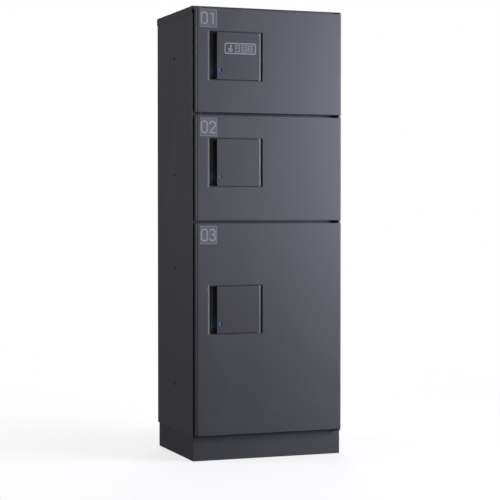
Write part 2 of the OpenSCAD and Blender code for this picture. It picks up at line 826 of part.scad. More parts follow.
lock_screws(1);  // lock_screws_02
hinge_bushes(1);  // hinge_bushes_02
flap_pin(1);  // flap_pin_02
flap_cover(1);  // flap_cover_02
turn_knob(1);  // turn_knob_02
vacancy_ring(1);  // vacancy_ring_02
lock_bolt(1);  // lock_bolt_02
code_dial(1);  // code_dial_02
door_skin(2);  // door_skin_03
door_inner(2);  // door_inner_03
number_plate(2);  // number_plate_03
recess_tray(2);  // recess_tray_03
lock_case(2);  // lock_case_03
lock_screws(2);  // lock_screws_03
hinge_bushes(2);  // hinge_bushes_03
flap_pin(2);  // flap_pin_03
flap_cover(2);  // flap_cover_03
turn_knob(2);  // turn_knob_03
vacancy_ring(2);  // vacancy_ring_03
lock_bolt(2);  // lock_bolt_03
code_dial(2);  // code_dial_03
stamp_housing();
stamp_button();
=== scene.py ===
"""Looks for a three-door steel parcel locker: rounded sheet edges, number plates, lock fronts,
finishes and a plain studio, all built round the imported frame."""

import json
import math

import bmesh
import bpy
from bpy.props import FloatProperty, FloatVectorProperty, PointerProperty
from mathutils import Matrix, Vector


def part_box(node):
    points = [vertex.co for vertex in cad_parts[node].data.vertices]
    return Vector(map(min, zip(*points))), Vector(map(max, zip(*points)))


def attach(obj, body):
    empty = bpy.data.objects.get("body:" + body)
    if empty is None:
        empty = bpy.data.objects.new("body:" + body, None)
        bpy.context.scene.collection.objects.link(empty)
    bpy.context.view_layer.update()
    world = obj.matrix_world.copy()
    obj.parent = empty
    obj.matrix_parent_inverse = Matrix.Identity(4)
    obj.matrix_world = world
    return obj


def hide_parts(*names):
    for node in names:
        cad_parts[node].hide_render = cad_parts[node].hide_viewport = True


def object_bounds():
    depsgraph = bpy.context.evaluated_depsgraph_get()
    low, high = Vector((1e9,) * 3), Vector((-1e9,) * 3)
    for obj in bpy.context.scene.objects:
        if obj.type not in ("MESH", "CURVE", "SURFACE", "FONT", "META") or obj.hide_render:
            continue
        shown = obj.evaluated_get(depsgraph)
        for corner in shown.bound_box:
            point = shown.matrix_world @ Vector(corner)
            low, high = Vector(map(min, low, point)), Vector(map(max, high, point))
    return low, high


bl_info = {
    "name": "Parcel locker looks",
    "version": (1, 0, 0),
    "blender": (4, 5, 0),
    "location": "3D View > Sidebar > Parcel locker",
    "description": "Finishes, number plates, lock fronts and studio for a parcel locker",
    "category": "Object",
}

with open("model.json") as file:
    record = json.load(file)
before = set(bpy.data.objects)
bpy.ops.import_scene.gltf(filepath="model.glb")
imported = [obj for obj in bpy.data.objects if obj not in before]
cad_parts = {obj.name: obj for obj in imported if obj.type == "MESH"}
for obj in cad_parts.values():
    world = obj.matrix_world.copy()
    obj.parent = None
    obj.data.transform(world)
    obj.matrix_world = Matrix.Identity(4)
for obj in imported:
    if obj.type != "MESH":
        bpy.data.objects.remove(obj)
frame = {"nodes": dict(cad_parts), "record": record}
CAD_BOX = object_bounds()
NODES = frame["nodes"]

MM = 0.001
TOUCH = 0.02 * MM          # two coordinates this near are the same
WELD = 0.005 * MM          # corners this near become one
FLAT = math.radians(0.4)   # faces that turn less than this become one
SHARP = math.radians(35)   # edges that turn more than this are sharp
DOORS = ("01", "02", "03")
DOOR_CORNER = 4.7 * MM     # a little over the radius of the doors' front edges
BEAD_MARGIN = 45 * MM      # from a bead's end to the edge of the inner sheet
BEAD_WIDTH = 16 * MM
BEAD_RISE = 0.9 * MM
BEAD_PLACES = (0.3, 0.7)   # shares of the width to the right of the tray
FLAP_PIN_CLEAR = 3.2 * MM  # the flap's pin hole keeps its sharp edge
LABEL_W = 93 * MM
LABEL_H = 31 * MM
LABEL_R = 3 * MM
LABEL_STROKE = 3 * MM
LABEL_SIGN_X = -29 * MM    # the middle of the label's sign
LABEL_BLOCK = 17.5 * MM    # size of one block of bars
LABEL_BLOCK_STEP = 1.14    # from one block to the next, as a share of its size
LABEL_BLOCKS_X = -8 * MM   # the middle of the first block
# heights of each block's bars and places of its posts, as shares of its size
LABEL_BLOCKS = (
    ((0.5, 0.1, -0.5), (-0.3, 0.3)),
    ((0.5, 0.17, -0.17, -0.5), (-0.42, 0.42)),
    ((0.45, 0, -0.45), (-0.42, 0.05)),
)
LABEL_LEFT = 22.5 * MM     # from the flap's free edge to its label
LABEL_UP = 87 * MM         # from the flap's lower edge to the label's middle
# radius and depth behind the flap's face, in millimetres: cup, hub, spindle and cam disc
KNOB_PROFILE = (
    (0, 9.1), (16.2, 9.1), (17.0, 8.6), (19.3, 8.6), (20, 9.2), (20, 12), (7, 12),
    (7, 23.5), (5, 23.5), (5, 26), (13.4, 26), (13.4, 28.5), (0, 28.5),
)
GRIP_W = 10 * MM
GRIP_H = 32 * MM
GRIP_BACK = 9.3 * MM       # from the flap's face back to the foot of the grip
GRIP_DEPTH = 5.3 * MM
GRIP_R = 1.1 * MM
POINTER_W = 1.4 * MM
POINTER_START = 4 * MM     # above the knob's middle and behind the flap's face
POINTER_L = 7 * MM
CRANK_R = 9.9 * MM         # from the spindle to the crank pin
CRANK_PIN_R = 2            # millimetres, as are all profiles
CRANK_PIN_FRONT = 28.2
RING_BORE = 20.02
RING_CHAMFER = 0.25
VACANT_SECTOR = (135, 225)   # degrees, anticlockwise from the right
TAKEN_SECTOR = (225, 315)
DIAL_R = 19 * MM
DIAL_SKIRT = 12 * MM
DIAL_RIM_R = 0.8 * MM
DIAL_HUB = ((0, -0.9), (4.6, -0.9), (5.6, -0.4), (5.8, 0.1), (0, 0.1))
DIAL_STEM_R = 4
DIAL_STEM_FRONT = 11.8
DIAL_WASHER_R = 12
DIAL_WASHER_T = 4
DIAL_MARK_W = 1.6 * MM
DIAL_MARK_GAP = 1.6 * MM
DIAL_MARK_L = 4 * MM
DIAL_TICKS = 30
DIAL_TICK_W = 0.5 * MM
DIAL_TICK_INSET = 2.2 * MM
DIAL_TICK_LENGTHS = (2.4, 1.3)   # millimetres: at a figure, and between figures
DIAL_FIGURES = 10
DIAL_FIGURE_H = 4.2 * MM
DIAL_FIGURE_INSET = 6.9 * MM
FLUTES = 12
FLUTE_DEPTH = 0.055        # as a share of the dial's radius
TRAY_SCREW_PROUD = 1.8 * MM
TRAY_LIP = 15 * MM         # from the tray's left side to the end of its finger lip
KEY_RIM = 2.2 * MM         # round the dish in the stamp's button
KEY_SLOPE = 0.9 * MM
KEY_DISH = 0.7 * MM
KEY_SIGN = (0.7 * MM, 8 * MM, 3.6 * MM, 1.2 * MM)   # stroke, width, height and radius
FLOOR_R = 2.6
FLOOR_COVER = 0.28         # how much of the floor shows next to the locker


# ---- what a user would change ----


def length(name, text, default):
    return FloatProperty(
        name=name, description=text, default=default * MM, unit="LENGTH", precision=5
    )


def amount(name, text, default):
    return FloatProperty(name=name, description=text, default=default, min=0)


def colour(name, text, default):
    return FloatVectorProperty(
        name=name, description=text, default=default, subtype="COLOR", min=0, max=1
    )


class LockerSizes(bpy.types.PropertyGroup):
    bend_r: length("Bend radius", "Outside radius of the folded sheet edges", 1.5)
    cut_r: length("Cut edge radius", "Rounding of cut and coated edges", 0.45)
    hardware_r: length("Hardware edge radius", "Rounding of brackets, bolts and cases", 0.3)
    rim_back: length("Rim setback", "How far the trays' rims stand behind the door's face", 1.8)
    tray_back: length("Tray back", "Least depth of a tray's back behind its rim", 10)
    digit_h: length("Digit height", "Height of the door numbers", 35)
    digit_w: length("Digit width", "Width of a round door number", 20.5)
    digit_stroke: length("Digit stroke", "Line width of the door numbers", 3.8)
    digit_gap: length("Digit gap", "Gap between the two figures of a door number", 3.2)
    print_t: length("Print thickness", "How far printed marks stand proud", 0.12)
    plate_border: length("Plate border", "Width of the number plates' raised border", 1.1)


class LockerFinishes(bpy.types.PropertyGroup):
    coat: colour("Cabinet coat", "Powder coat of the cabinet", (0.036, 0.036, 0.040))
    door: colour("Door coat", "Powder coat of the doors", (0.033, 0.033, 0.037))
    flap: colour("Flap coat", "Powder coat of the flaps", (0.027, 0.026, 0.029))
    plinth: colour("Plinth coat", "Powder coat of the plinth", (0.026, 0.026, 0.029))
    # The tray tone is painted light: it makes the recesses' backs, finger lips and slopes paler
    # than the moulding's own dark tone.
    tray: colour("Tray", "Backs and finger lips of the recess trays", (0.095, 0.095, 0.096))
    plate: colour("Number plate", "Ground of the number plates", (0.062, 0.062, 0.068))
    mark: colour("Marks", "Printed digits, borders and labels", (0.19, 0.19, 0.21))
    vacant: colour("Vacant", "Ring sector that shows a free compartment", (0.06, 0.27, 0.74))
    taken: colour("Taken", "Ring sector that shows a locked compartment", (0.55, 0.03, 0.02))
    coat_gloss: amount("Coat roughness", "Roughness of the powder coat", 0.40)


class LockerStage(bpy.types.PropertyGroup):
    camera_turn: FloatProperty(
        name="Camera turn", description="Turn of the camera round the locker",
        default=math.radians(-20.387), subtype="ANGLE",
    )
    camera_tilt: FloatProperty(
        name="Camera tilt", description="How far the camera looks down",
        default=math.radians(1.465), subtype="ANGLE",
    )
    camera_distance: length(
        "Camera distance", "From the locker's middle, over the floor", 4586.7
    )
    camera_aside: length("Camera aside", "How far the camera stands to the right", 3.3)
    camera_height: length("Camera height", "Height of the camera over the floor", 703.4)
    lens: amount("Lens", "Focal length in millimetres", 112.93)
    floor_tone: amount("Floor tone", "Paleness of the floor", 0.86)
    room_light: amount("Room light", "Soft light from all round", 0.05)


def settings():
    return bpy.context.scene.locker


class LockerSettings(bpy.types.PropertyGroup):
    sizes: PointerProperty(type=LockerSizes)
    finishes: PointerProperty(type=LockerFinishes)
    stage: PointerProperty(type=LockerStage)


# ---- shaders ----


class Value:
    """A socket of a shader tree. Arithmetic on values adds Math nodes."""

    def __init__(self, tree, socket=None):
        self.tree = tree
        self.socket = socket

    def node(self, kind, options=None, sockets=None, output=0):
        """Adds a node, sets its options first and then its sockets, and gives one output."""
        made = self.tree.nodes.new(kind)
        for name, value in (options or {}).items():
            if name == "stops":
                set_stops(made.color_ramp, value)
            else:
                setattr(made, name, value)
        for name, value in (sockets or {}).items():
            if isinstance(value, Value):
                self.tree.links.new(value.socket, made.inputs[name])
            else:
                made.inputs[name].default_value = value
        return Value(self.tree, made.outputs[output] if made.outputs else None)

    def maths(self, operation, *values):
        return self.node("ShaderNodeMath", {"operation": operation}, dict(enumerate(values)))

    def __add__(self, other):
        return self.maths("ADD", self, other)

    __radd__ = __add__

    def __sub__(self, other):
        return self.maths("SUBTRACT", self, other)

    def __rsub__(self, other):
        return self.maths("SUBTRACT", other, self)

    def __mul__(self, other):
        return self.maths("MULTIPLY", self, other)

    __rmul__ = __mul__


def set_stops(ramp, stops):
    """Gives a colour ramp its stops: (place, grey level) pairs."""
    while len(ramp.elements) < len(stops):
        ramp.elements.new(1)
    for element, (place, level) in zip(ramp.elements, stops):
        element.position = place
        element.color = (level, level, level, 1)


def rgba(tone, scale=1.0):
    return (*[c * scale for c in tone], 1)


class Finish:
    """A material under construction, with the patterns that the finishes share."""

    def __init__(self, name):
        self.material = bpy.data.materials.new(name)
        self.material.use_nodes = True
        self.tree = self.material.node_tree
        self.tree.nodes.clear()
        self.base = Value(self.tree)
        self.place = self.base.node("ShaderNodeTexCoord", output=3)

    def noise(self, size, detail=2.0, roughness=0.5, place=None):
        """Noise whose features are about size metres across."""
        return self.base.node(
            "ShaderNodeTexNoise",
            {"noise_dimensions": "3D"},
            {"Vector": place or self.place, "Scale": 1 / size, "Detail": detail,
             "Roughness": roughness},
        )

    def cells(self, size):
        return self.base.node(
            "ShaderNodeTexVoronoi", {"feature": "F1"}, {"Vector": self.place, "Scale": 1 / size}
        )

    def stretched(self, scale, turn=(0, 0, 0), shift=(0, 0, 0)):
        return self.base.node(
            "ShaderNodeMapping",
            {"vector_type": "TEXTURE"},
            {"Vector": self.place, "Scale": scale, "Rotation": turn, "Location": shift},
        )

    def ramp(self, value, *stops):
        return self.base.node("ShaderNodeValToRGB", {"stops": stops}, {"Fac": value})

    def mixed(self, factor, a, b):
        return self.base.node(
            "ShaderNodeMix", {"data_type": "RGBA"}, {0: factor, 6: a, 7: b}, output=2
        )

    def edge(self):
        """1 on the faces of a rounded edge and 0 elsewhere."""
        return self.base.node("ShaderNodeAttribute", {"attribute_name": "edge"}, output=2)

    def bump(self, height, depth, strength=1.0):
        return self.base.node(
            "ShaderNodeBump", {}, {"Height": height, "Distance": depth, "Strength": strength}
        )

    def done(self, **sockets):
        """Adds the surface shader. Its socket names are written with _ for a space."""
        named = {name.replace("_", " "): value for name, value in sockets.items()}
        surface = self.base.node("ShaderNodeBsdfPrincipled", {}, named)
        self.base.node("ShaderNodeOutputMaterial", {}, {"Surface": surface})
        return self.material


def powder_coat(name, tone, gloss):
    """Satin powder coat: faint clouds, a fine speckle, orange peel and handling marks."""
    f = Finish(name)
    clouds = f.noise(0.35, 3)
    speckle = f.noise(0.0011, 1)
    peel = f.noise(0.0032, 2, 0.4)
    rubbed = f.ramp(f.noise(0.09, 5, 0.65), (0.52, 0), (0.72, 1))
    worn = f.edge()
    ground = f.mixed(clouds, rgba(tone, 0.92), rgba(tone, 1.08))
    specked = f.mixed(f.ramp(speckle, (0.58, 0), (0.72, 1)) * 0.35, ground, rgba(tone, 1.7))
    thin = f.mixed(worn * 0.5, specked, rgba(tone, 1.5))
    return f.done(
        Base_Color=thin,
        Roughness=gloss + (clouds - 0.5) * 0.05 + rubbed * 0.05 - worn * 0.06,
        Normal=f.bump(peel * 0.7 + speckle * 0.3, 0.00012, 0.5),
        Specular_IOR_Level=0.42,
    )


def moulded_plastic(name, tone, gloss, grain=0.0007, painted_glow=0):
    """Moulded plastic with a fine spark-eroded grain and faint flow clouds. Emission above 0 is
    painted light: the plastic shines though it is no lamp.
    """
    f = Finish(name)
    pits = f.cells(grain)
    flow = f.noise(0.03, 2)
    scuffs = f.ramp(f.noise(0.004, 6, 0.7, f.stretched((1, 1, 6))), (0.60, 0), (0.68, 1))
    ground = f.mixed(flow, rgba(tone, 0.9), rgba(tone, 1.12))
    return f.done(
        Base_Color=f.mixed(scuffs * 0.15, ground, rgba(tone, 2.2)),
        Roughness=gloss + flow * 0.06 + scuffs * 0.08,
        Normal=f.bump(pits, 0.00006, 0.6),
        Emission_Color=rgba(tone),
        Emission_Strength=painted_glow,
    )


def plated_steel(name, tone, gloss):
    """Bright zinc plate with fine draw lines and a soft mottle."""
    f = Finish(name)
    lines = f.noise(0.0009, 3, 0.6, f.stretched((1, 1, 14)))
    mottle = f.noise(0.006, 4, 0.6)
    ground = f.mixed(mottle, rgba(tone, 0.82), rgba(tone, 1.1))
    return f.done(
        Base_Color=ground,
        Metallic=1.0,
        Roughness=gloss + mottle * 0.14 + lines * 0.08,
        Normal=f.bump(lines, 0.00003, 0.5),
    )


def blackened_steel(name):
    """Blackened steel: dark, slightly oily, with a mottle and brighter edges."""
    f = Finish(name)
    mottle = f.noise(0.005, 5, 0.6)
    worn = f.edge()
    ground = f.mixed(mottle, (0.012, 0.012, 0.013, 1), (0.030, 0.030, 0.033, 1))
    return f.done(
        Base_Color=f.mixed(worn * 0.35, ground, (0.11, 0.11, 0.12, 1)),
        Metallic=0.55,
        Roughness=0.36 + mottle * 0.2,
        Normal=f.bump(f.noise(0.0006, 2), 0.00003, 0.5),
    )


def soft_rubber(name):
    f = Finish(name)
    bloom = f.noise(0.004, 4, 0.6)
    return f.done(
        Base_Color=f.mixed(bloom, (0.010, 0.010, 0.011, 1), (0.028, 0.028, 0.030, 1)),
        Roughness=0.72 + bloom * 0.15,
        Normal=f.bump(f.noise(0.0005, 3), 0.00005, 0.7),
    )


def turned_nylon(name):
    """Turned nylon: fine rings round the upright axis."""
    f = Finish(name)
    rings = f.noise(0.0006, 2, 0.5, f.stretched((12, 12, 1)))
    milk = f.noise(0.01, 2)
    return f.done(
        Base_Color=f.mixed(milk, (0.030, 0.030, 0.032, 1), (0.050, 0.050, 0.054, 1)),
        Roughness=0.34 + rings * 0.12,
        Normal=f.bump(rings, 0.00004, 0.5),
        Subsurface_Weight=0.04,
    )


def printed_ink(name, tone):
    """Screen print: slightly uneven cover with pinholes."""
    f = Finish(name)
    cover = f.noise(0.0035, 4, 0.6)
    pinholes = f.ramp(f.noise(0.0006, 1), (0.70, 0), (0.78, 1))
    ground = f.mixed(cover, rgba(tone, 0.90), rgba(tone, 1.08))
    return f.done(
        Base_Color=f.mixed(pinholes * 0.5, ground, rgba(tone, 0.55)),
        Roughness=0.46 + cover * 0.12,
        Normal=f.bump(cover, 0.00002, 0.5),
    )


def plate_film(name, tone):
    """Lighter satin plate of the door numbers, with a fine upright brush."""
    f = Finish(name)
    brush = f.noise(0.0007, 3, 0.6, f.stretched((1, 1, 18)))
    clouds = f.noise(0.02, 3)
    ground = f.mixed(clouds, rgba(tone, 0.94), rgba(tone, 1.06))
    return f.done(
        Base_Color=f.mixed(brush * 0.4, ground, rgba(tone, 1.25)),
        Roughness=0.42 + brush * 0.1,
        Normal=f.bump(brush, 0.00003, 0.4),
    )


def pale_floor(name, tone):
    """A pale floor that fades into the white room a little way from the locker."""
    f = Finish(name)
    dust = f.noise(0.4, 3)
    distance = f.base.node(
        "ShaderNodeVectorMath", {"operation": "LENGTH"}, {0: f.place}, output=1
    )
    return f.done(
        Base_Color=f.mixed(dust, rgba((tone,) * 3, 0.985), rgba((tone,) * 3)),
        Roughness=0.85 + dust * 0.05,
        Normal=f.bump(f.noise(0.003, 2), 0.0001, 0.2),
        Alpha=f.ramp(distance * (1 / FLOOR_R), (0.15, FLOOR_COVER), (0.95, 0)),
    )


FINISHES = {}


def make_finishes():
    s = settings().finishes
    gloss = s.coat_gloss
    FINISHES.update(
        cabinet_coat=powder_coat("cabinet coat", s.coat, gloss),
        door_coat=powder_coat("door coat", s.door, gloss),
        flap_coat=powder_coat("flap coat", s.flap, gloss),
        plinth_coat=powder_coat("plinth coat", s.plinth, gloss + 0.05),
        # The pale tone of the trays' backs, lips and slopes is painted light.
        tray_plastic=moulded_plastic("tray plastic with painted light", s.tray, 0.42),
        number_plate=plate_film("plate film", s.plate),
        marks=printed_ink("printed marks", s.mark),
        black_steel=blackened_steel("blackened steel"),
        zinc=plated_steel("zinc plate", (0.58, 0.59, 0.60), 0.26),
        nylon=turned_nylon("turned nylon"),
        rubber=soft_rubber("bumper rubber"),
        black_plastic=moulded_plastic("black plastic", (0.014, 0.014, 0.016), 0.34),
        ring_plastic=moulded_plastic("blank ring plastic", (0.30, 0.30, 0.31), 0.3),
        # The vacant sector shines as painted light; the ring has no lamp in it.
        ring_vacant=moulded_plastic("vacant ring plastic with painted glow", s.vacant, 0.22, painted_glow=0.7),
        ring_taken=moulded_plastic("taken ring plastic", s.taken, 0.22),
        button_plastic=moulded_plastic("button plastic", (0.30, 0.022, 0.016), 0.28),
        white_ink=printed_ink("white ink", (0.62, 0.62, 0.61)),
    )


# ---- shapes ----


def on(value, target):
    return abs(value - target) < TOUCH


def box_planes(point, low, high):
    """The faces of a box that a point lies on, as (axis, side) pairs."""
    return {
        (axis, side)
        for axis in range(3)
        for side, plane in ((0, low[axis]), (1, high[axis]))
        if on(point[axis], plane)
    }


def merged(node):
    """The shape of a CAD node with its loose triangles joined into whole faces."""
    shape = bmesh.new()
    shape.from_mesh(NODES[node].data)
    shape.faces.layers.float.new("edge")
    bmesh.ops.remove_doubles(shape, verts=shape.verts[:], dist=WELD)
    bmesh.ops.dissolve_limit(
        shape, angle_limit=FLAT, verts=shape.verts[:], edges=shape.edges[:]
    )
    shape.normal_update()
    return shape


def sharp_edges(shape, picked=None, convex=True):
    """The sharp outward edges, or inward ones, whose two ends pass a test."""
    return [
        e
        for e in shape.edges
        if len(e.link_faces) == 2
        and e.calc_face_angle(0) > SHARP
        and e.is_convex == convex
        and (picked is None or picked(e.verts[0].co, e.verts[1].co))
    ]


def round_edges(shape, edges, width, segments=3):
    """Rounds edges, and marks the new faces so that finishes can show a thinner coat there."""
    if not edges:
        raise ValueError("no edges to round")
    layer = shape.faces.layers.float.get("edge") or shape.faces.layers.float.new("edge")
    made = bmesh.ops.bevel(
        shape, geom=edges, offset=width, offset_type="OFFSET", segments=segments, profile=0.5,
        affect="EDGES", clamp_overlap=True, material=-1,
    )
    for face in made["faces"]:
        face[layer] = 1
    shape.normal_update()


def smooth(shape):
    """Smooth shading that stops at edges which turn by more than SHARP."""
    shape.normal_update()
    for face in shape.faces:
        face.smooth = True
    for edge in shape.edges:
        edge.smooth = len(edge.link_faces) != 2 or edge.calc_face_angle(0) <= SHARP


def add_piece(name, shape, body, finishes, stands_for=()):
    """Makes an object of a shape, gives it its finishes, hangs it on its body and hides the CAD
    nodes it stands for.
    """
    mesh = bpy.data.meshes.new(name)
    smooth(shape)
    shape.to_mesh(mesh)
    shape.free()
    if "custom_normal" in mesh.attributes:
        mesh.attributes.remove(mesh.attributes["custom_normal"])
    for finish in finishes:
        mesh.materials.append(FINISHES[finish])
    piece = bpy.data.objects.new(name, mesh)
    bpy.context.scene.collection.objects.link(piece)
    normals = piece.modifiers.new("even shading", "WEIGHTED_NORMAL")
    normals.keep_sharp = True
    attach(piece, body)
    if stands_for:
        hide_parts(*stands_for)
    return piece


def rounded_node(name, node, body, slot, rounds):
    """A CAD node's shape with edges rounded. rounds holds (test, width, segments)."""
    low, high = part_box(node)
    shape = merged(node)
    for test, width, segments in rounds:
        edges = sharp_edges(shape, test and (lambda a, b: test(a, b, low, high)))
        round_edges(shape, edges, width, segments)
    return add_piece(name, shape, body, [slot], [node])


def common_planes(a, b, low, high):
    return box_planes(a, low, high) & box_planes(b, low, high)


FRONT, TOP, BOTTOM, LEFT, RIGHT = (1, 0), (2, 1), (2, 0), (0, 0), (0, 1)


def on_box_edge(a, b, low, high):
    """Along one of the twelve edges of the node's box."""
    return len(common_planes(a, b, low, high)) >= 2


def upright_fold(a, b, low, high):
    """Along an upright edge of the node's box."""
    shared = common_planes(a, b, low, high)
    return len(shared) >= 2 and not shared & {TOP, BOTTOM}


def cap_fold(a, b, low, high):
    """The folds round the top of the cap and at its back corners; its front is a cut edge."""
    shared = common_planes(a, b, low, high)
    return len(shared) >= 2 and FRONT not in shared and BOTTOM not in shared


def front_fold(a, b, low, high):
    """The two long front edges of a shelf or rail."""
    shared = common_planes(a, b, low, high)
    return FRONT in shared and bool(shared & {TOP, BOTTOM})


def front_rim(a, b, low, high):
    """Any edge in the plane of the front."""
    return FRONT in common_planes(a, b, low, high)


def opening_rim(a, b, low, high):
    """An edge in the plane of the front that is clear of the outline."""
    return common_planes(a, b, low, high) == {FRONT}


def side_rim(a, b, low, high):
    """Any edge in the plane of the left or right side."""
    return bool(common_planes(a, b, low, high) & {LEFT, RIGHT})


def left_rim(a, b, low, high):
    """Any edge in the plane of the left side."""
    return LEFT in common_planes(a, b, low, high)


def door_fold(a, b, low, high):
    """The outer folds of a door: its top and bottom outlines and its upright back edges."""
    shared = common_planes(a, b, low, high)
    at_corner = max(a.y, b.y) < low.y + DOOR_CORNER
    return len(shared) >= 2 or (bool(shared & {TOP, BOTTOM}) and at_corner)


def end_rim(axis_x, axis_y, clear):
    """A test for edges in the top or bottom plane that keep clear of an upright hole."""

    def picked(a, b, low, high):
        near = min((p.xy - Vector((axis_x, axis_y))).length for p in (a, b))
        return bool(common_planes(a, b, low, high) & {TOP, BOTTOM}) and near > clear

    return picked


# ---- printed marks ----

FACING = Matrix.Rotation(math.pi / 2, 4, "X")   # turns a flat shape to face the front


class Pen:
    """Draws a flat stroke in an upright plane by extruding and spinning a short edge."""

    def __init__(self, shape, stroke, x, z, heading):
        self.shape = shape
        self.stroke = stroke
        self.place = Vector((x, 0, z))
        self.heading = math.radians(heading)
        ends = [shape.verts.new(self.place + side * self.across()) for side in (1, -1)]
        self.edge = shape.edges.new(ends)

    def along(self):
        return Vector((math.cos(self.heading), 0, math.sin(self.heading)))

    def across(self):
        return Vector((-math.sin(self.heading), 0, math.cos(self.heading))) * self.stroke / 2

    def line(self, distance):
        made = bmesh.ops.extrude_edge_only(self.shape, edges=[self.edge])["geom"]
        ends = [part for part in made if isinstance(part, bmesh.types.BMVert)]
        self.place = self.place + self.along() * distance
        bmesh.ops.translate(self.shape, verts=ends, vec=self.along() * distance)
        self.edge = next(
            part for part in made
            if isinstance(part, bmesh.types.BMEdge) and set(part.verts) == set(ends)
        )
        return self

    def turn(self, radius, degrees):
        """Bends left for a positive angle and right for a negative one."""
        angle = math.radians(abs(degrees))
        side = math.copysign(1, degrees)
        left = self.across().normalized()
        middle = self.place + left * radius * side
        made = bmesh.ops.spin(
            self.shape, geom=[*self.edge.verts, self.edge], cent=middle, axis=(0, -side, 0),
            angle=angle, steps=max(2, round(abs(degrees) / 9)), use_merge=False,
        )["geom_last"]
        self.edge = next(part for part in made if isinstance(part, bmesh.types.BMEdge))
        turned = Matrix.Rotation(angle, 3, (0, -side, 0))
        self.place = middle + turned @ (self.place - middle)
        self.heading += math.radians(degrees)
        return self


def loop(shape, stroke, width, height, radius, x=0, z=0):
    """A closed rounded rectangle round x, z."""
    pen = Pen(shape, stroke, x - width / 2, z, 90)
    pen.line(height / 2 - radius)
    for side in (width, height, width):
        pen.turn(radius, -90).line(side - 2 * radius)
    pen.turn(radius, -90).line(height / 2 - radius)


def figure_0(shape, stroke, w, h, x):
    loop(shape, stroke, w, h, w * 0.42, x)


def figure_1(shape, stroke, w, h, x):
    flag = stroke * 0.62
    Pen(shape, stroke, x + w * 0.1, -h / 2, 90).line(h - 2 * flag).turn(flag, 135).line(w * 0.2)


def figure_2(shape, stroke, w, h, x):
    r = w / 2
    sweep = 360 - 2 * math.degrees(math.atan2(h - r, r))
    back = sweep - 90
    corner = stroke * 0.55
    cut = corner * math.tan(math.radians(back / 2))
    pen = Pen(shape, stroke, x - r, h / 2 - r, 90)
    pen.turn(r, -sweep).line(h - r - cut).turn(corner, back).line(w - cut)


def figure_3(shape, stroke, w, h, x):
    low_r = w / 2
    high_r = h / 2 - low_r
    waist = 2 * low_r - h / 2
    start = math.radians(180 - 20)
    for r, flip in ((high_r, 1), (low_r, -1)):
        before = set(shape.faces)
        Pen(
            shape, stroke, x + r * math.cos(start), waist + flip * r * (1 + math.sin(start)),
            flip * 70,
        ).turn(r, -flip * 250).line(w * 0.12)
        arc = [face for face in shape.faces if face not in before]
        near = {part for face in arc for part in (face, *face.edges, *face.verts)}
        bmesh.ops.bisect_plane(
            shape, geom=list(near), plane_co=(0, 0, waist), plane_no=(0, 0, -flip),
            clear_outer=True,
        )


FIGURES = {"0": figure_0, "1": figure_1, "2": figure_2, "3": figure_3}


def thicken(shape, depth):
    """Gives flat strokes a thickness towards the front."""
    bmesh.ops.remove_doubles(shape, verts=shape.verts[:], dist=WELD)
    made = bmesh.ops.extrude_face_region(shape, geom=shape.faces[:])["geom"]
    front = [part for part in made if isinstance(part, bmesh.types.BMVert)]
    bmesh.ops.translate(shape, verts=front, vec=(0, -depth, 0))
    bmesh.ops.recalc_face_normals(shape, faces=shape.faces[:])


def add_marks(name, shape, middle, body, finish="marks"):
    """Prints flat strokes on a front at middle."""
    thicken(shape, settings().sizes.print_t)
    bmesh.ops.translate(shape, verts=shape.verts[:], vec=middle)
    return add_piece(name, shape, body, [finish])


# ---- turned and pressed shapes ----


def turned(shape, profile, middle, steps=64, closed=False):
    """Spins a profile of (radius, depth) points, in millimetres, about the Y axis."""
    points = [shape.verts.new(middle + Vector((r, depth, 0)) * MM) for r, depth in profile]
    pairs = list(zip(points, points[1:]))
    if closed:
        pairs.append((points[-1], points[0]))
    edges = [shape.edges.new(pair) for pair in pairs]
    bmesh.ops.spin(
        shape, geom=points + edges, cent=middle, axis=(0, 1, 0), angle=math.tau, steps=steps,
        use_merge=True,
    )
    bmesh.ops.remove_doubles(shape, verts=shape.verts[:], dist=WELD)
    bmesh.ops.recalc_face_normals(shape, faces=shape.faces[:])


def boss(shape, width, height, middle, depth, taper, rounding, segments=48):
    """An oval boss that stands proud of middle towards the front, with a rounded rim."""
    flat = Matrix.Translation(middle) @ FACING
    size = Matrix.Diagonal((width / 2, height / 2, 1, 1))
    made = bmesh.ops.create_circle(
        shape, cap_ends=True, segments=segments, radius=1, matrix=flat @ size
    )
    base = list({face for vert in made["verts"] for face in vert.link_faces})
    top = bmesh.ops.extrude_face_region(shape, geom=base)["geom"]
    verts = [part for part in top if isinstance(part, bmesh.types.BMVert)]
    bmesh.ops.translate(shape, verts=verts, vec=(0, -depth, 0))
    bmesh.ops.scale(
        shape, verts=verts, vec=(taper, 1, taper), space=Matrix.Translation(-middle)
    )
    rim = [part for part in top if isinstance(part, bmesh.types.BMEdge)]
    bmesh.ops.recalc_face_normals(shape, faces=shape.faces[:])
    round_edges(shape, rim, rounding, 4)


def middle_of(node):
    low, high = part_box(node)
    return (low + high) / 2


# ---- operators ----


class LOCKER_OT_cabinet(bpy.types.Operator):
    """Rounds the folds of the sides, cap, plinth, shelves and rails"""

    bl_idname = "locker.cabinet"
    bl_label = "Cabinet sheets"

    def execute(self, context):
        s = settings().sizes
        fold = s.bend_r
        for name, node, test in (
            ("side_sheet_left", "side_panel_left", upright_fold),
            ("side_sheet_right", "side_panel_right", upright_fold),
            ("cap_sheet", "top_cap", cap_fold),
            ("upper_shelf", "partition_upper", front_fold),
            ("lower_shelf", "partition_lower", front_fold),
            ("rail_over_door", "header_rail", front_fold),
            ("bottom_shelf", "floor_pan", front_fold),
        ):
            rounded_node(name, node, "cabinet", "cabinet_coat", [(test, fold * 0.8, 3)])
        rounded_node("plinth_frame", "plinth", "cabinet", "plinth_coat",
                     [(on_box_edge, fold, 4)])
        return {"FINISHED"}


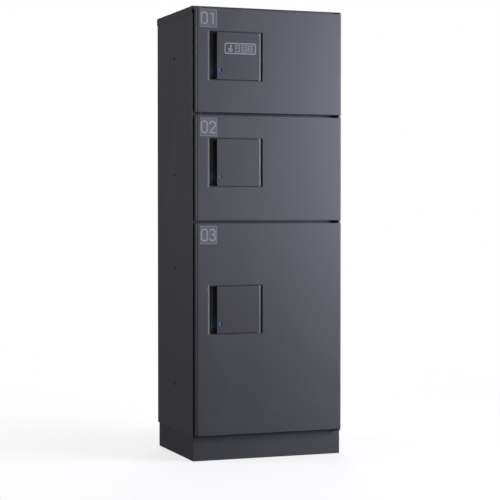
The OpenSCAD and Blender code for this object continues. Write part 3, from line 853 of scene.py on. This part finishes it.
class LOCKER_OT_hardware(bpy.types.Operator):
    """Rounds the edges of the hinges, strike plates, rivets, screws and bumpers"""

    bl_idname = "locker.hardware"
    bl_label = "Cabinet hardware"

    def execute(self, context):
        edge = settings().sizes.hardware_r
        for name, node, slot, test, width in (
            ("hinge_arms", "hinge_brackets", "black_steel", None, edge),
            ("hinge_screw_heads", "hinge_screws", "black_steel", front_rim, edge),
            ("rivet_heads", "side_rivets", "cabinet_coat", side_rim, 2 * edge),
            ("bumper_buttons", "door_bumpers", "rubber", front_rim, 4 * edge),
            ("strikes", "strike_plates", "zinc", None, edge),
            ("shelf_angles", "shelf_brackets", "cabinet_coat", None, edge),
        ):
            rounded_node(name, node, "cabinet", slot, [(test, width, 3)])
        return {"FINISHED"}


class LOCKER_OT_doors(bpy.types.Operator):
    """Rounds the doors' folds and recess openings, and presses stiffening beads inside"""

    bl_idname = "locker.doors"
    bl_label = "Doors"

    def execute(self, context):
        s = settings().sizes
        for number in DOORS:
            rounded_node(
                f"door_{number}_shell", f"door_skin_{number}", f"door_{number}", "door_coat",
                [(door_fold, s.bend_r, 4), (opening_rim, s.cut_r, 3)],
            )
            self.press_beads(number)
        return {"FINISHED"}

    def press_beads(self, number):
        """Long raised beads on the inner sheet, to the right of the lock."""
        low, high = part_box(f"door_inner_{number}")
        tray_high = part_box(f"recess_tray_{number}")[1]
        shape = bmesh.new()
        length = high.z - low.z - 2 * BEAD_MARGIN
        for share in BEAD_PLACES:
            x = tray_high.x + (high.x - tray_high.x) * share
            boss(shape, BEAD_WIDTH, length, Vector((x, -high.y, (low.z + high.z) / 2)),
                 BEAD_RISE, 0.92, BEAD_RISE / 3, 64)
        bmesh.ops.scale(shape, verts=shape.verts[:], vec=(1, -1, 1))
        bmesh.ops.reverse_faces(shape, faces=shape.faces[:])
        add_piece(f"door_{number}_beads", shape, f"door_{number}",
                  ["cabinet_coat"])


class LOCKER_OT_plates(bpy.types.Operator):
    """Number plates with a raised border and the doors' numbers"""

    bl_idname = "locker.plates"
    bl_label = "Number plates"

    def execute(self, context):
        s = settings().sizes
        for number in DOORS:
            node = f"number_plate_{number}"
            body = f"door_{number}"
            low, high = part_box(node)
            shape = merged(node)
            face = min(shape.faces, key=lambda f: f.calc_center_median().y)
            border = bmesh.ops.inset_region(shape, faces=[face], thickness=s.plate_border)
            for side in border["faces"]:
                side.material_index = 1
            bmesh.ops.inset_region(
                shape, faces=[face], thickness=s.print_t, depth=-s.print_t
            )
            add_piece(f"plate_{number}", shape, body,
                      ["number_plate", "marks"], [node])
            figures = bmesh.new()
            step = (s.digit_w + s.digit_gap) / 2
            for figure, x in zip(number, (-step, step)):
                FIGURES[figure](figures, s.digit_stroke, s.digit_w - s.digit_stroke,
                                s.digit_h - s.digit_stroke, x)
            centre = Vector(((low.x + high.x) / 2, low.y + s.print_t, (low.z + high.z) / 2))
            add_marks(f"figures_{number}", figures, centre, body)
        return {"FINISHED"}


class LOCKER_OT_flaps(bpy.types.Operator):
    """Flaps with rounded edges, and the label that marks the one over the stamp"""

    bl_idname = "locker.flaps"
    bl_label = "Flaps"

    def execute(self, context):
        s = settings().sizes
        for number in DOORS:
            pin = middle_of(f"flap_pin_{number}")
            ends = end_rim(pin.x, pin.y, FLAP_PIN_CLEAR)
            rounded_node(
                f"flap_{number}_shell", f"flap_cover_{number}", f"flap_{number}", "flap_coat",
                [(upright_fold, s.cut_r * 1.4, 3), (ends, s.cut_r, 3),
                 (opening_rim, s.cut_r, 3)],
            )
        self.label()
        return {"FINISHED"}

    def label(self):
        """An outline with the sign of a hand stamp and three blocks of bars."""
        low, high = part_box("flap_cover_01")
        shape = bmesh.new()
        loop(shape, LABEL_STROKE, LABEL_W - LABEL_STROKE, LABEL_H - LABEL_STROKE, LABEL_R)
        self.hand_stamp(shape, LABEL_SIGN_X)
        for place, (bars, posts) in enumerate(LABEL_BLOCKS):
            x = LABEL_BLOCKS_X + place * LABEL_BLOCK * LABEL_BLOCK_STEP
            self.block(shape, x, bars, posts)
        place = Vector((low.x + LABEL_LEFT + LABEL_W / 2, low.y, low.z + LABEL_UP))
        add_marks("label_01", shape, place, "flap_01")

    def hand_stamp(self, shape, x):
        """A ball on a leaning stem, a shoulder and the line it prints."""
        unit = LABEL_H / 10
        ball = Matrix.Translation((x + unit * 0.6, 0, unit * 2.1)) @ FACING
        bmesh.ops.create_circle(shape, cap_ends=True, segments=24, radius=unit, matrix=ball)
        Pen(shape, unit * 1.1, x + unit * 0.35, unit * 0.95, -110).line(unit * 0.9)
        Pen(shape, unit * 1.2, x - unit * 2.1, -unit * 0.2, -14).line(unit * 4.3)
        Pen(shape, unit, x - unit * 2.2, -unit * 2.5, 0).line(unit * 4)

    def block(self, shape, x, bars, posts):
        """Bars across at some heights, with posts between them. The numbers are shares."""
        fine = LABEL_STROKE * 0.72
        for bar, under in zip(bars, (*bars[1:], None)):
            z = bar * LABEL_BLOCK
            Pen(shape, fine, x - LABEL_BLOCK / 2, z, 0).line(LABEL_BLOCK)
            if under is None:
                break
            drop = (bar - under) * LABEL_BLOCK - fine * 1.4
            for post in posts:
                Pen(shape, fine, x + post * LABEL_BLOCK, z - fine * 0.7, -90).line(drop)


class LOCKER_OT_trays(bpy.types.Operator):
    """Recess trays with rounded lips, and the parts of the lock behind them"""

    bl_idname = "locker.trays"
    bl_label = "Trays and lock cases"

    def execute(self, context):
        s = settings().sizes
        for number in DOORS:
            body = f"door_{number}"
            self.tray(number, body)
            rounded_node(
                f"case_{number}", f"lock_case_{number}", body, "black_steel",
                [(on_box_edge, s.bend_r * 0.8, 3)],
            )
            rounded_node(
                f"bolt_{number}", f"lock_bolt_{number}", f"bolt_{number}", "zinc",
                [(left_rim, s.bend_r, 3)],
            )
            rounded_node(
                f"case_screws_{number}", f"lock_screws_{number}", body, "zinc",
                [(front_rim, s.hardware_r * 0.5, 2)],
            )
        return {"FINISHED"}

    def tray(self, number, body):
        """The rims stand back. The tray is one moulding: its rims and walls are painted black as
        painted shade, and its back, finger lip and slope are painted paler as painted light.
        """
        s = settings().sizes
        node = f"recess_tray_{number}"
        low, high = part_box(node)
        shape = merged(node)
        lip = low.x + TRAY_LIP
        bmesh.ops.bisect_plane(
            shape, geom=shape.verts[:] + shape.edges[:] + shape.faces[:], dist=WELD,
            plane_co=(lip, 0, 0), plane_no=(1, 0, 0),
        )
        rims = [v for v in shape.verts if on(v.co.y, low.y) and v.co.x > lip - TOUCH]
        bmesh.ops.translate(shape, verts=rims, vec=(0, s.rim_back, 0))
        shape.normal_update()
        round_edges(shape, sharp_edges(shape, lambda a, b: front_rim(a, b, low, high)),
                    s.cut_r * 0.8, 3)
        # Faces outside the back, lip and slope take black plastic as painted shade; the rest
        # keep the pale tray finish as painted light.
        for face in shape.faces:
            sloping = face.normal.x > 0.5 and face.normal.y < -0.2
            middle = face.calc_center_median()
            in_lip = middle.x < lip and middle.y < low.y + s.rim_back
            in_back = face.normal.y < -0.9 and middle.y > low.y + s.tray_back
            if not (sloping or in_lip or in_back):
                face.material_index = 1
        add_piece(f"tray_{number}", shape, body,
                  ["tray_plastic", "black_plastic"], [node])


class LOCKER_OT_knobs(bpy.types.Operator):
    """Turn knobs with an oval grip, and the vacancy rings round them"""

    bl_idname = "locker.knobs"
    bl_label = "Turn knobs"

    def execute(self, context):
        for number in DOORS:
            self.knob(number)
            self.ring(number)
        return {"FINISHED"}

    def knob(self, number):
        body = f"latch_{number}"
        middle = middle_of(f"vacancy_ring_{number}")
        middle.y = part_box(f"flap_cover_{number}")[0].y
        pin_back = (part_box(f"turn_knob_{number}")[1].y - middle.y) / MM
        shape = bmesh.new()
        turned(shape, KNOB_PROFILE, middle)
        round_edges(shape, sharp_edges(shape), settings().sizes.hardware_r * 0.6, 2)
        boss(shape, GRIP_W, GRIP_H, middle + Vector((0, GRIP_BACK, 0)), GRIP_DEPTH, 0.84,
             GRIP_R)
        crank = Vector((CRANK_R * math.sin(math.pi / 4), 0, -CRANK_R * math.cos(math.pi / 4)))
        turned(shape, [
            (0, CRANK_PIN_FRONT), (CRANK_PIN_R, CRANK_PIN_FRONT), (CRANK_PIN_R, pin_back),
            (0, pin_back),
        ], middle + crank, 24)
        add_piece(f"knob_{number}", shape, body, ["black_plastic"],
                  [f"turn_knob_{number}"])
        pointer = bmesh.new()
        Pen(pointer, POINTER_W, 0, POINTER_START, 90).line(POINTER_L)
        add_marks(f"pointer_{number}", pointer, middle + Vector((0, POINTER_START, 0)), body,
                  "white_ink")

    def ring(self, number):
        node = f"vacancy_ring_{number}"
        low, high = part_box(node)
        middle = middle_of(node)
        middle.y = low.y
        outer = (high.x - low.x) / 2 / MM
        thick = (high.y - low.y) / MM
        shape = bmesh.new()
        turned(shape, [
            (RING_BORE, 0), (outer - RING_CHAMFER, 0), (outer, RING_CHAMFER), (outer, thick),
            (RING_BORE, thick),
        ], middle, closed=True)
        for face in shape.faces:
            place = face.calc_center_median() - middle
            angle = math.degrees(math.atan2(place.z, place.x)) % 360
            for slot, (start, end) in enumerate((VACANT_SECTOR, TAKEN_SECTOR), 1):
                if start < angle < end:
                    face.material_index = slot
        add_piece(f"ring_{number}", shape, f"latch_{number}",
                  ["ring_plastic", "ring_vacant", "ring_taken"], [node])


class LOCKER_OT_dials(bpy.types.Operator):
    """Fluted code dials with ticks and figures"""

    bl_idname = "locker.dials"
    bl_label = "Code dials"

    def execute(self, context):
        for number in DOORS:
            node = f"code_dial_{number}"
            low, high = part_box(node)
            middle = middle_of(node)
            middle.y = low.y
            self.body(number, middle, high)
            self.scale(number, middle)
            pointer = bmesh.new()
            Pen(pointer, DIAL_MARK_W, 0, DIAL_R + DIAL_MARK_GAP, 90).line(DIAL_MARK_L)
            tray_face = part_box(f"lock_screws_{number}")[0].y + TRAY_SCREW_PROUD
            place = Vector((middle.x, tray_face, middle.z))
            add_marks(f"dial_mark_{number}", pointer, place, f"door_{number}",
                      "white_ink")
        return {"FINISHED"}

    def body(self, number, middle, high):
        node = f"code_dial_{number}"
        shape = bmesh.new()
        flat = Matrix.Translation(middle) @ FACING
        rim = bmesh.ops.create_circle(
            shape, cap_ends=True, segments=FLUTES * 10, radius=DIAL_R, matrix=flat
        )["verts"]
        for vert in rim:
            arm = vert.co - middle
            wave = max(0, math.cos(FLUTES * math.atan2(arm.z, arm.x)))
            vert.co = middle + arm * (1 - FLUTE_DEPTH * wave ** 3)
        skirt = bmesh.ops.extrude_face_region(shape, geom=shape.faces[:])["geom"]
        back = [part for part in skirt if isinstance(part, bmesh.types.BMVert)]
        bmesh.ops.translate(shape, verts=back, vec=(0, DIAL_SKIRT, 0))
        bmesh.ops.recalc_face_normals(shape, faces=shape.faces[:])
        round_edges(shape, sharp_edges(shape, lambda a, b: on(a.y, b.y) and on(a.y, middle.y)),
                    DIAL_RIM_R, 3)
        depth = (high.y - middle.y) / MM
        turned(shape, [
            (0, DIAL_STEM_FRONT), (DIAL_STEM_R, DIAL_STEM_FRONT),
            (DIAL_STEM_R, depth - DIAL_WASHER_T), (DIAL_WASHER_R, depth - DIAL_WASHER_T),
            (DIAL_WASHER_R, depth), (0, depth),
        ], middle, 48)
        turned(shape, DIAL_HUB, middle, 48)
        add_piece(f"dial_{number}", shape, f"dial_{number}",
                  ["black_plastic"], [node])

    def scale(self, number, middle):
        """Ticks all round and the figures 0 to 9."""
        ticks = bmesh.new()
        for step in range(DIAL_TICKS):
            angle = math.radians(90 - step * 360 / DIAL_TICKS)
            long = DIAL_TICK_LENGTHS[step % (DIAL_TICKS // DIAL_FIGURES) > 0]
            start = DIAL_R - DIAL_TICK_INSET - long * MM
            pen = Pen(ticks, DIAL_TICK_W, start * math.cos(angle), start * math.sin(angle),
                      math.degrees(angle))
            pen.line(long * MM)
        add_marks(f"dial_ticks_{number}", ticks, middle, f"dial_{number}",
                  "white_ink")
        figures = bmesh.new()
        for figure in range(DIAL_FIGURES):
            text = bpy.data.curves.new("figure", "FONT")
            text.body = str(figure)
            text.size = DIAL_FIGURE_H
            text.align_x = "CENTER"
            text.align_y = "CENTER"
            text.extrude = settings().sizes.print_t / 2
            text.resolution_u = 3
            made = bpy.data.objects.new("figure", text)
            bpy.context.scene.collection.objects.link(made)
            bpy.context.view_layer.update()
            mesh = made.to_mesh()
            turn = Matrix.Rotation(figure * math.tau / DIAL_FIGURES, 4, "Y")
            out = Matrix.Translation((0, 0, DIAL_R - DIAL_FIGURE_INSET))
            mesh.transform(Matrix.Translation(middle) @ turn @ out @ FACING)
            figures.from_mesh(mesh)
            made.to_mesh_clear()
            bpy.data.objects.remove(made)
            bpy.data.curves.remove(text)
        bmesh.ops.remove_doubles(figures, verts=figures.verts[:], dist=WELD / 5)
        add_piece(f"dial_figures_{number}", figures, f"dial_{number}",
                  ["white_ink"])


class LOCKER_OT_stamp(bpy.types.Operator):
    """The receipt stamp's housing and its button under the top flap"""

    bl_idname = "locker.stamp"
    bl_label = "Receipt stamp"

    def execute(self, context):
        s = settings().sizes
        rounded_node("stamp_body", "stamp_housing", "door_01", "black_plastic",
                     [(front_rim, s.cut_r, 3)])
        shape = merged("stamp_button")
        low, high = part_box("stamp_button")
        rim = sharp_edges(shape, lambda a, b: front_rim(a, b, low, high))
        round_edges(shape, rim, 2.5 * s.cut_r, 4)
        face = min(shape.faces, key=lambda f: f.calc_center_median().y)
        bmesh.ops.inset_region(shape, faces=[face], thickness=KEY_RIM)
        bmesh.ops.inset_region(shape, faces=[face], thickness=KEY_SLOPE, depth=-KEY_DISH)
        add_piece("stamp_key", shape, "stamp", ["button_plastic"],
                  ["stamp_button"])
        middle = (low + high) / 2
        sign = bmesh.new()
        loop(sign, *KEY_SIGN)
        place = Vector((middle.x, low.y + KEY_DISH, middle.z))
        add_marks("stamp_sign", sign, place, "stamp", "white_ink")
        return {"FINISHED"}


class LOCKER_OT_finishes(bpy.types.Operator):
    """Makes the finishes and paints the carried-over parts"""

    bl_idname = "locker.finishes"
    bl_label = "Finishes"

    def execute(self, context):
        make_finishes()
        slots = {part["node"]: part["material_slot"] for part in frame["record"]["subparts"]}
        for node, piece in NODES.items():
            finish = FINISHES[slots[node]]
            if not piece.material_slots:
                piece.data.materials.append(finish)
            for place in piece.material_slots:
                place.material = finish
        return {"FINISHED"}


class LOCKER_OT_stage(bpy.types.Operator):
    """Makes the floor, the lights, the room and the camera"""

    bl_idname = "locker.stage"
    bl_label = "Studio"

    def execute(self, context):
        s = settings().stage
        floor = bmesh.new()
        bmesh.ops.create_circle(floor, cap_ends=True, segments=96, radius=FLOOR_R)
        mesh = bpy.data.meshes.new("floor")
        floor.to_mesh(mesh)
        floor.free()
        mesh.materials.append(pale_floor("pale floor", s.floor_tone))
        ground = bpy.data.objects.new("floor", mesh)
        context.scene.collection.objects.link(ground)
        ground.visible_glossy = False
        make_room(context.scene, s.room_light)
        for light in LIGHTS:
            add_light(context.scene, *light)
        add_camera(context.scene, s)
        context.scene.view_settings.view_transform = "Standard"
        return {"FINISHED"}


# name, place, width, height, power and colour; each faces the middle of the locker
LIGHTS = (
    ("right softbox", (1.7, -2.0, 1.08), 1.0, 1.6, 62, (0.72, 0.79, 1.0)),
    ("far right softbox", (2.4, -1.6, 1.1), 1.2, 2.0, 108, (1.0, 0.98, 0.95)),
    ("left softbox", (-3.2, 0.6, 1.4), 1.4, 2.2, 90, (0.93, 0.91, 1.0)),
    ("front softbox", (0.5, -3.6, 1.0), 1.4, 1.4, 6, (0.95, 0.95, 1.0)),
    ("overhead softbox", (0.0, 0.4, 3.6), 1.2, 1.2, 12, (1.0, 1.0, 1.0)),
    ("back softbox", (1.0, 3.4, 1.8), 1.6, 2.0, 90, (0.96, 0.97, 1.0)),
)


def add_light(scene, name, place, width, height, power, tone):
    low, high = CAD_BOX
    target = (low + high) / 2
    lamp = bpy.data.lights.new(name, "AREA")
    lamp.shape = "RECTANGLE"
    lamp.size = width
    lamp.size_y = height
    lamp.energy = power
    lamp.color = tone
    piece = bpy.data.objects.new(name, lamp)
    piece.location = place
    piece.rotation_euler = (target - Vector(place)).to_track_quat("-Z", "Y").to_euler()
    scene.collection.objects.link(piece)


def make_room(scene, level):
    """A white backdrop that gives less light than it shows."""
    world = bpy.data.worlds.new("room")
    world.use_nodes = True
    tree = world.node_tree
    tree.nodes.clear()
    base = Value(tree)
    lit = base.node("ShaderNodeBackground", {}, {"Color": (1, 1, 1, 1), "Strength": level})
    shown = base.node("ShaderNodeBackground", {}, {"Color": (1, 1, 1, 1), "Strength": 1.0})
    seen = base.node("ShaderNodeLightPath", output=0)
    both = base.node("ShaderNodeMixShader", {}, {0: seen, 1: lit, 2: shown})
    base.node("ShaderNodeOutputWorld", {}, {"Surface": both})
    scene.world = world


def add_camera(scene, s):
    place = Vector((s.camera_aside, -s.camera_distance, s.camera_height))
    data = bpy.data.cameras.new("camera")
    data.lens = s.lens
    camera = bpy.data.objects.new("camera", data)
    camera.location = Matrix.Rotation(s.camera_turn, 3, "Z") @ place
    camera.rotation_euler = (math.pi / 2 - s.camera_tilt, 0, s.camera_turn)
    scene.collection.objects.link(camera)
    scene.camera = camera


class LOCKER_PT_looks(bpy.types.Panel):
    """Lists the operators that build the looks"""

    bl_idname = "LOCKER_PT_looks"
    bl_label = "Parcel locker"
    bl_space_type = "VIEW_3D"
    bl_region_type = "UI"
    bl_category = "Parcel locker"

    def draw(self, context):
        for operator in OPERATORS:
            self.layout.operator(operator.bl_idname)


OPERATORS = (
    LOCKER_OT_finishes,
    LOCKER_OT_cabinet,
    LOCKER_OT_hardware,
    LOCKER_OT_doors,
    LOCKER_OT_plates,
    LOCKER_OT_flaps,
    LOCKER_OT_trays,
    LOCKER_OT_knobs,
    LOCKER_OT_dials,
    LOCKER_OT_stamp,
    LOCKER_OT_stage,
)
CLASSES = (LockerSizes, LockerFinishes, LockerStage, LockerSettings, *OPERATORS, LOCKER_PT_looks)


def register():
    for cls in CLASSES:
        bpy.utils.register_class(cls)
    bpy.types.Scene.locker = PointerProperty(type=LockerSettings)


def unregister():
    del bpy.types.Scene.locker
    for cls in reversed(CLASSES):
        bpy.utils.unregister_class(cls)


def main():
    register()
    for operator in OPERATORS:
        group, name = operator.bl_idname.split(".")
        getattr(getattr(bpy.ops, group), name)()


if __name__ == "__main__":
    main()
